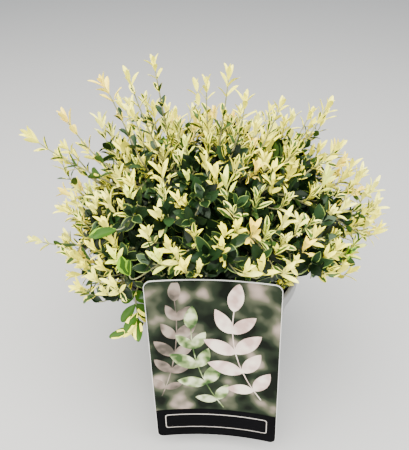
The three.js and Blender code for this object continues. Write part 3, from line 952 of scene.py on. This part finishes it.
def clear_of_pot(points, room, hanging):
    """Above the compost and the rim, and lower only outside the pot."""
    radius = np.hypot(points[..., 0], points[..., 1])
    height = points[..., 2]
    left, right = (np.maximum(-points[..., 1] - start, 0) * slope for start, slope in FRONT_LIFTS)
    lowest = LOWEST_FOLIAGE + np.where(points[..., 0] < 0, left, right)
    near_rim = radius < RIM_OUTSIDE + room
    beyond = np.where(near_rim, height > POT_HEIGHT + RIM_ROOM + room, hanging | (height > lowest))
    return np.where(radius < RIM_INSIDE, height > SOIL_LEVEL + SOIL_ROOM + room, beyond)


def clear_of_card(points):
    """Beside or behind the card, or leaning out over its top edge, and clear of its hook."""
    matrix = np.array(CARD_PLACE.inverted())
    local = points @ matrix[:3, :3].T + matrix[:3, 3]
    across, deep, up = local[..., 0], local[..., 1], local[..., 2]
    behind_by = deep - card_depth(across)
    room = CARD_ROOM + CLEARANCE
    beside = np.abs(across) > CARD_WIDTH / 2 + room
    above = up > CARD_HEIGHT / 2 + np.maximum(-behind_by, 0) * CARD_HOLD_BACK + room
    near_hook = (np.abs(across) < HOOK_WIDTH / 2 + room) & (behind_by < HOOK_REACH + HOOK_ROOM)
    near_hook &= points[..., 2] < POT_HEIGHT + HOOK_ROOM
    return (beside | above | (behind_by > room)) & ~near_hook


# Shoots: each springs from the nearest wood of its mass that lies well below its tip

class Shrub:
    """The wood and the leaves grown so far."""

    def __init__(self):
        self.wood = []
        self.heading = []
        self.mass = []
        self.paths = []
        self.radii = []
        self.leaves = []

    def add_wood(self, place, heading, mass):
        self.wood.append(place)
        self.heading.append(heading)
        self.mass.append(mass)


def plant_stems(shrub):
    """Each mass's own stem runs on from its bough's tip."""
    for mass, toward in enumerate(TOWARD):
        reach = np.linspace(BOUGH_END - 1, BOUGH_END + 26, PATH_POINTS)
        shrub.paths.append(CROWN_HEART + toward * reach[:, None])
        shrub.radii.append(np.linspace(BOUGH_TIP_RADIUS, 1.0, PATH_POINTS))
        for beyond in (2, 6, 10, 14, 18, 22, 26):
            shrub.add_wood(CROWN_HEART + toward * (BOUGH_END + beyond), toward, mass)


def bezier(start, first, second, end):
    t = np.linspace(0, 1, PATH_POINTS)[:, None]
    return ((1 - t) ** 3 * start + 3 * (1 - t) ** 2 * t * first
            + 3 * (1 - t) * t ** 2 * second + t ** 3 * end)


def grow(shrub, tip, heading, kind, shortest=20.0):
    """One shoot to a tip, from the cheapest wood of its mass, if there is any that will do."""
    heart_way = tip - CROWN_HEART
    reach = np.linalg.norm(heart_way)
    mass = nearest_mass(tip)
    wood = np.array(shrub.wood)
    span = np.linalg.norm(wood - tip, axis=1)
    fit = np.linalg.norm(wood - CROWN_HEART, axis=1) < reach - shortest * 0.6
    fit &= (np.array(shrub.mass) == mass) & (span > shortest)
    if not fit.any():
        return
    share = np.clip((wood - CROWN_HEART) @ heart_way / reach ** 2, 0, 1)[:, None]
    aside = np.linalg.norm(wood - CROWN_HEART - share * heart_way, axis=1)
    *_, upright, by_span, by_aside = KINDS[kind]
    root = int(np.argmin(np.where(fit, by_span * span + by_aside * aside, np.inf)))
    start = wood[root]
    leave = unit(0.5 * shrub.heading[root] + unit(tip - start) + (0, 0, -0.1))
    length = np.linalg.norm(tip - start)
    path = bezier(start, start + leave * length * 0.35, tip - heading * length * upright, tip)
    grow_along(shrub, path, mass, kind)


def grow_along(shrub, path, mass, kind, hanging=False):
    """A shoot with its leaves, unless its outer part would run into the pot or the card."""
    outer = path[3:]
    if not (clear_of_pot(outer, TWIG_ROOM, hanging) & clear_of_card(outer)).all():
        return
    shrub.paths.append(path)
    thickness, bare, *_ = KINDS[kind]
    shrub.radii.append(np.linspace(thickness, TIP_THICKNESS, PATH_POINTS))
    for index in range(2, PATH_POINTS - 2):
        shrub.add_wood(path[index], unit(path[index + 1] - path[index - 1]), mass)
    add_leaves(shrub, path, kind, bare, hanging)


def shoot_tones(kind):
    """The pale tone and the green tone of one shoot."""
    pale = deal(PALES["usual"])
    if kind in PALES:
        pale = deal(PALES[kind])
    if kind in LIT_TONES:
        pale, green = LIT_TONES[kind]
    else:
        green = deal(GREENS)
    return TONE[pale], TONE[green]


def grown_tones(kind, root):
    """The tones that a grown leaf may take at its place in the crown: darker ones, as painted shade, low
    or deep in it and on every shade shoot.
    """
    sunlit = kind != "shade" and body_share(root) > PAINTED_SHADE_REACH and root[2] > PAINTED_SHADE_LEVEL
    return GROWN_TONES.get(kind, LIGHT_TONES if sunlit else PAINTED_SHADE_TONES)


def add_leaves(shrub, path, kind, bare, hanging):
    """Pairs of leaves from the tip of a shoot down to its bare share."""
    spans = np.linalg.norm(np.diff(path, axis=0), axis=1)
    steps = np.r_[0, np.cumsum(spans)]
    length = spans.sum()

    def place(along):
        return np.array([np.interp(along, steps, path[:, axis]) for axis in range(3)])

    pale, green = shoot_tones(kind)
    size = rng.uniform(0.88, 1.14)
    roll = rng.uniform(0, math.pi)
    crossing = math.pi / 2
    if kind in LIT_TONES:
        roll, crossing = LIT_ROLL, LIT_CROSSING
    flecked = 0.0
    if kind == "tuft" and rng.random() < FLECKED_CHANCE:
        flecked = FLECKED_GREEN
        green = TONE["meadow"]
    for index, (gap, leaf_length, leaf_width, spread, share) in enumerate(PAIRS[kind]):
        share = share if share >= 1 else min(share + flecked, 0.95)
        along = length - gap * size * rng.uniform(0.92, 1.1)
        if along < bare * length:
            break
        root = place(along)
        heading = unit(place(min(along + 3, length)) - place(along - 3))
        level = np.cross((0, 0, 1.0), heading)
        level = unit(level) if np.linalg.norm(level) > 0.05 else np.array([1.0, 0, 0])
        other = np.cross(heading, level)
        turn = roll + index * crossing + rng.normal(0, 0.14)
        for side in (0, math.pi):
            angle = turn + side + rng.normal(0, 0.1)
            outward = math.cos(angle) * level + math.sin(angle) * other
            open_by = math.radians(spread + rng.normal(0, 7))
            way = math.cos(open_by) * heading + math.sin(open_by) * outward
            upper = math.sin(open_by) * heading - math.cos(open_by) * outward
            if kind in LIT_TONES:
                upper = unit(OPEN_SKY - (OPEN_SKY @ way) * way)
            margin, centre = pale, green
            if share >= 1:
                margin = centre = TONE[rng.choice(grown_tones(kind, root), p=GROWN_CHANCES)]
                if centre < TONE["painted_shade_black"] and rng.random() < EDGED_CHANCE:
                    margin, share = TONE["sage"], EDGED
            shrub.leaves.append((
                root, way, upper,
                leaf_length * size * rng.uniform(0.88, 1.1),
                leaf_width * size * rng.uniform(0.88, 1.12),
                margin, centre, max(share + rng.normal(0, 0.08) * (0 < share < 1), 0), hanging,
            ))


# Where the tips of the shoots stand

def direction(turn, rise):
    """Unit vectors turned round from +X and raised from level, both in radians."""
    level = np.cos(rise)
    return np.stack([np.cos(turn) * level, np.sin(turn) * level, np.sin(rise)], axis=-1)


def dome_tips(count, lowest, reach):
    """Tips spread like a sunflower's seeds over the dense body, each at its own reach."""
    index = np.arange(count)
    rise = np.arcsin(1 - (index + 0.5) / count * (1 - math.sin(math.radians(lowest))))
    out = direction(index * math.pi * (3 - math.sqrt(5)), rise)
    out = unit(out + rng.normal(0, 0.05, out.shape))
    return CROWN_HEART + out * (rng.uniform(*reach, count) / body_share(CROWN_HEART + out))[:, None]


def seen_tips(pixels, reach):
    """Where sight lines through pixels of the photograph meet the dense body at a reach."""
    tips = []
    for line in sight_lines(pixels):
        steps = CAMERA_PLACE + line * SIGHT_STEPS[:, None]
        share = body_share(steps)
        tips.append(steps[np.argmax(share < reach) if share.min() < reach else np.argmin(share)])
    return np.array(tips)


def near_side(tip):
    """True where the crown faces the camera, so that its tufts were seen one by one."""
    line = unit(CAMERA_PLACE - tip)
    out = unit((tip - CROWN_HEART) / (BODY_HALF_WIDTH, BODY_HALF_WIDTH, BODY_HALF_HEIGHT))
    return float(line @ out) > NEAR_FACING


def back_tips():
    tips = []
    for index in range(BACK_SHOOTS):
        turn = (index + rng.uniform(0.2, 0.8)) / BACK_SHOOTS * math.pi
        rise = math.radians(BACK_SHOOT_RISES[index % 3] + rng.uniform(-8, 8))
        tips.append(CROWN_HEART + direction(turn, rise) * rng.uniform(*BACK_SHOOT_REACH))
    return tips


def grow_group(shrub, tips, kind, rise, scatter, back=0.0, shortest=20.0):
    """Shoots to these tips or a little back from them, of one kind or by several's chances."""
    for tip in tips:
        heading = unit(unit(tip - CROWN_HEART) + (0, 0, rise) + rng.normal(0, scatter, 3))
        grow(shrub, tip - back * heading, heading, kind if isinstance(kind, str) else deal(kind),
             shortest)


def grow_shrub():
    shrub = Shrub()
    plant_stems(shrub)

    # Core shoots deep in the crown, whose near-black leaves are painted shade
    fresh_draws("core")
    tips = dome_tips(count=90, lowest=-6, reach=(0.4, 0.56))
    grow_group(shrub, tips, "core", rise=0.2, scatter=0.25, shortest=9)
    # Shade shoots fill the body; their grown leaves all take the darker tones of painted shade
    fresh_draws("shade")
    tips = dome_tips(count=380, lowest=-9, reach=(0.6, 0.97))
    grow_group(shrub, tips, "shade", rise=0.5, scatter=0.25, shortest=14)
    fresh_draws("fill")
    tips = dome_tips(count=14, lowest=-8, reach=(0.84, 0.97))
    grow_group(shrub, tips, "fill", rise=1.2, scatter=0.2)

    fresh_draws("seen_tufts")
    tips = seen_tips(TUFTS_SEEN, reach=1.0)
    grow_group(shrub, tips, "tuft", rise=3.4, scatter=0.3, back=5)
    fresh_draws("seen_greens")
    tips = seen_tips(GREENS_SEEN, reach=0.95)
    grow_group(shrub, tips, "shade", rise=1.6, scatter=0.3, shortest=14)

    fresh_draws("dome")
    tips = [tip for tip in dome_tips(count=300, lowest=-4, reach=(0.9, 1.1))
            if not near_side(tip) and not (tip < OPEN_CORNER).all()]
    grow_group(shrub, tips, {"tuft": 0.72, "fill": 0.28}, rise=2.2, scatter=0.2, back=3)
    fresh_draws("top")
    tips = [tip for tip in dome_tips(count=66, lowest=26, reach=(0.96, 1.15)) if tip[1] > TOP_FRONT]
    grow_group(shrub, tips, {"tuft": 0.86, "fill": 0.14}, rise=1.8, scatter=0.2, back=3)

    fresh_draws("bright")
    tips = seen_tips([pixel for pixel, _, _ in BRIGHT_SHOOTS], reach=1.0)
    for tip, (_, heading, kind) in zip(tips, BRIGHT_SHOOTS):
        grow(shrub, tip, unit(heading), kind)
    fresh_draws("low")
    grow_group(shrub, LOW_TUFTS, "tuft", rise=1.2, scatter=0.15, shortest=12)
    fresh_draws("long")
    tips = [*LONG_SHOOTS, *back_tips()]
    grow_group(shrub, tips, "leader", rise=0.3, scatter=0.06, back=8, shortest=34)
    fresh_draws("droop")
    path = bezier(*DROOP)
    grow_along(shrub, path, nearest_mass(path[PATH_POINTS // 2]), "droop", hanging=True)
    return shrub


# Leaves as joined meshes, one for each tone

def leaf_points(leaves):
    """The grid of points of every leaf: keeled along the midrib, waved and curled back."""
    each = (len(leaves), 1, 1)
    share, length, width = (leaves[name].reshape(each) for name in ("share", "length", "width"))
    young = share < 1
    fold = np.where(young, rng.uniform(*YOUNG_FOLD, each), rng.uniform(*GROWN_FOLD, each))
    curl = np.where(young, rng.uniform(*YOUNG_CURL, each), rng.uniform(*GROWN_CURL, each))
    wave = rng.uniform(*WAVE, each)
    phase = rng.uniform(0, 2 * math.pi, each)
    sway = rng.normal(0, SWAY, each)
    shift = 1 + rng.uniform(*MARGIN_SHIFT, (len(leaves), len(STATIONS), 2))
    shift = np.where(share >= EDGED, rng.uniform(*EDGE_SHIFT, shift.shape), shift)
    columns = np.tile(COLUMNS, (len(leaves), len(STATIONS), 1))
    columns[:, :, [1, 3]] *= shift

    t = STATIONS[:, None]
    half = np.where(young, YOUNG_HALF_WIDTHS[:, None], GROWN_HALF_WIDTHS[:, None]) * width
    along = t * length
    across = half * columns + sway * length * t ** 2
    ripple = np.sin(3.2 * math.pi * t + phase + 1.3 * COLUMNS)
    lift = fold * np.abs(half * columns) - curl * length * t ** 2
    lift = lift + wave * width * ripple * np.abs(columns)
    side = unit(np.cross(leaves["upper"], leaves["way"]))
    root, way, side, upper = (
        vectors[:, None, None, :]
        for vectors in (leaves["root"], leaves["way"], side, leaves["upper"])
    )
    return root + along[..., None] * way + across[..., None] * side + lift[..., None] * upper


def leaf_tones(leaves):
    """The tone of each patch of each leaf: pale margins round a green middle."""
    share, margin, centre = (leaves[name][:, None, None] for name in ("share", "margin", "centre"))
    patches = np.repeat(rng.random((len(leaves), 4, 4)), 2, axis=1)[:, :7, :]
    inner = np.array([False, True, True, False])
    chance = np.where(inner, share * 1.9, share * 2.4 - 1.4)
    green = (patches < chance) | (share >= 1)
    green &= (share > 0) & ((share < EDGED) | inner)
    return np.where(green, centre, margin)


def make_leaves(shrub):
    """The leaves that run into nothing, tone by tone."""
    leaves = np.array(shrub.leaves, LEAF)
    tip = leaves["root"] + leaves["way"] * leaves["length"][:, None]
    middle = leaves["root"] + leaves["way"] * leaves["length"][:, None] * 0.5
    side = unit(np.cross(leaves["upper"], leaves["way"])) * leaves["width"][:, None] / 2
    low, high = np.array(cad_box) / MM
    keep = ((tip > low - LEAF_OVERHANG) & (tip < high + LEAF_OVERHANG)).all(axis=1)
    for points in (tip, middle, middle + side, middle - side):
        keep &= clear_of_pot(points, LEAF_ROOM, leaves["hanging"]) & clear_of_card(points)
    leaves = leaves[keep]
    fresh_draws("leaf_shapes")
    points = leaf_points(leaves).reshape(-1, 3)
    tones = leaf_tones(leaves)
    for name, look in LEAF_LOOKS.items():
        leaf, line, column = np.nonzero(tones == TONE[name])
        corner = (leaf * len(STATIONS) + line) * len(COLUMNS) + column
        below = corner + len(COLUMNS)
        quads = np.stack([corner, below, below + 1, corner + 1], axis=1)
        used, faces = np.unique(quads, return_inverse=True)
        piece = mesh_from(f"leaves_{name}", points[used], faces.reshape(-1, 4).tolist())
        finish_piece(piece, leaf_material(f"evergreen_leaf_{name}", *look), "leaves", *FOLIAGE_NODES)


# Twigs, boughs and stem as joined meshes

def moved_faces(faces, starts):
    """The same faces once for each start, with their corners counted from there."""
    return [tuple(corner + start for corner in face) for start in starts for face in faces]


def tubes(paths, radii, sides):
    """Closed tubes along paths of equal counts of points, with a radius a point or a corner."""
    paths, radii = np.asarray(paths), np.asarray(radii)
    count, length = paths.shape[:2]
    along = unit(np.gradient(paths, axis=1))
    guide = np.where(np.abs(along[:, :1, 2:3]) < 0.9, [[[0.0, 0, 1]]], [[[1.0, 0, 0]]])
    first = unit(np.cross(along, np.broadcast_to(guide, along.shape)))
    second = np.cross(along, first)
    turn = np.arange(sides) / sides * 2 * math.pi
    ring = (np.cos(turn)[:, None] * first[:, :, None, :]
            + np.sin(turn)[:, None] * second[:, :, None, :])
    points = paths[:, :, None, :] + ring * radii.reshape(count, length, -1, 1)
    points = np.concatenate([points.reshape(count, -1, 3), paths[:, [0]], paths[:, [-1]]], axis=1)
    faces = []
    for line in range(length - 1):
        for k in range(sides):
            a, b = line * sides + k, line * sides + (k + 1) % sides
            faces.append((a, b, b + sides, a + sides))
    last = (length - 1) * sides
    foot, tip = length * sides, length * sides + 1
    faces += [(foot, (k + 1) % sides, k) for k in range(sides)]
    faces += [(tip, last + k, last + (k + 1) % sides) for k in range(sides)]
    return points.reshape(-1, 3), moved_faces(faces, range(0, count * (tip + 1), tip + 1))


def make_twigs(shrub):
    paths, radii = np.array(shrub.paths), np.array(shrub.radii)
    middle = PATH_POINTS // 2
    halves = [
        ("twigs_old", slice(middle + 1),
         bark_material("twig_bark", "#4a4a2c", "#6d6d43", "#8f8c62", 0.7)),
        ("twigs_young", slice(middle, None),
         bark_material("green_shoot", "#5f663c", "#7b7f50", "#98986c", 0.55)),
    ]
    for name, part, bark in halves:
        twigs = mesh_from(name, *tubes(paths[:, part], radii[:, part], TWIG_SIDES))
        finish_piece(twigs, bark, "leaves", *FOLIAGE_NODES)


def make_bark(material):
    """Stem and boughs with the relief of their bark: a flared stool up to a knob."""
    foot = SOIL_LEVEL + CLEARANCE
    knob = CROWN_HEART[2] - foot
    turn = np.arange(STEM_SIDES) / STEM_SIDES * 2 * math.pi
    stem_radii = []
    for height in STEM_HEIGHTS:
        flare = STEM_WAIST + (FLARE_RADIUS - STEM_WAIST) * math.exp(-height / FLARE_FALL)
        bulge = math.sqrt(max(1 - ((height - knob) / KNOB_RADIUS) ** 2, 0)) * KNOB_RADIUS
        lobe = LOBE_DEPTH * max(1 - height / LOBE_HEIGHT, 0) * np.cos(FLARE_LOBES * turn)
        crack = sum(depth * np.sin(cracks * turn + twist * height)
                    for depth, cracks, twist in STEM_CRACKS)
        stem_radii.append(max(flare if height < knob else 0.3, bulge) * (1 + lobe + crack))
    line = np.zeros((1, len(STEM_HEIGHTS), 3))
    line[0, :, 2] = foot + STEM_HEIGHTS
    stem_points, stem_faces = tubes(line, [stem_radii], STEM_SIDES)

    paths, bough_radii = [], []
    reach = KNOB_RADIUS - 1 + (BOUGH_END - KNOB_RADIUS + 1) * BOUGH_STATIONS
    taper = np.linspace(BOUGH_BASE_RADIUS, BOUGH_TIP_RADIUS, len(BOUGH_STATIONS))
    swirl = np.arange(BOUGH_SIDES) / BOUGH_SIDES * 2 * math.pi
    for mass, toward in enumerate(TOWARD):
        path = CROWN_HEART + toward * reach[:, None]
        path[:, 2] += BOUGH_BOW * 4 * BOUGH_STATIONS * (1 - BOUGH_STATIONS)
        paths.append(path)
        crack = BOUGH_CRACK * np.sin(5 * swirl + np.arange(len(path))[:, None] * 1.7 + mass)
        bough_radii.append(taper[:, None] * (1 + crack))
    bough_points, bough_faces = tubes(paths, bough_radii, BOUGH_SIDES)

    faces = stem_faces + moved_faces(bough_faces, [len(stem_points)])
    bark = mesh_from("bark", np.concatenate([stem_points, bough_points]), faces)
    finish_piece(bark, material, "bark", "stem", *BOUGH_NODES)


# The whole scene

make_camera()
make_light()
make_floor()
make_pot(pot_material())
make_compost(compost_material())
make_card(card_sheet_material())
make_bark(bark_material("old_stem_bark", "#3d3324", "#5e5138", "#82765a", 0.85))
shrub = grow_shrub()
make_leaves(shrub)
make_twigs(shrub)
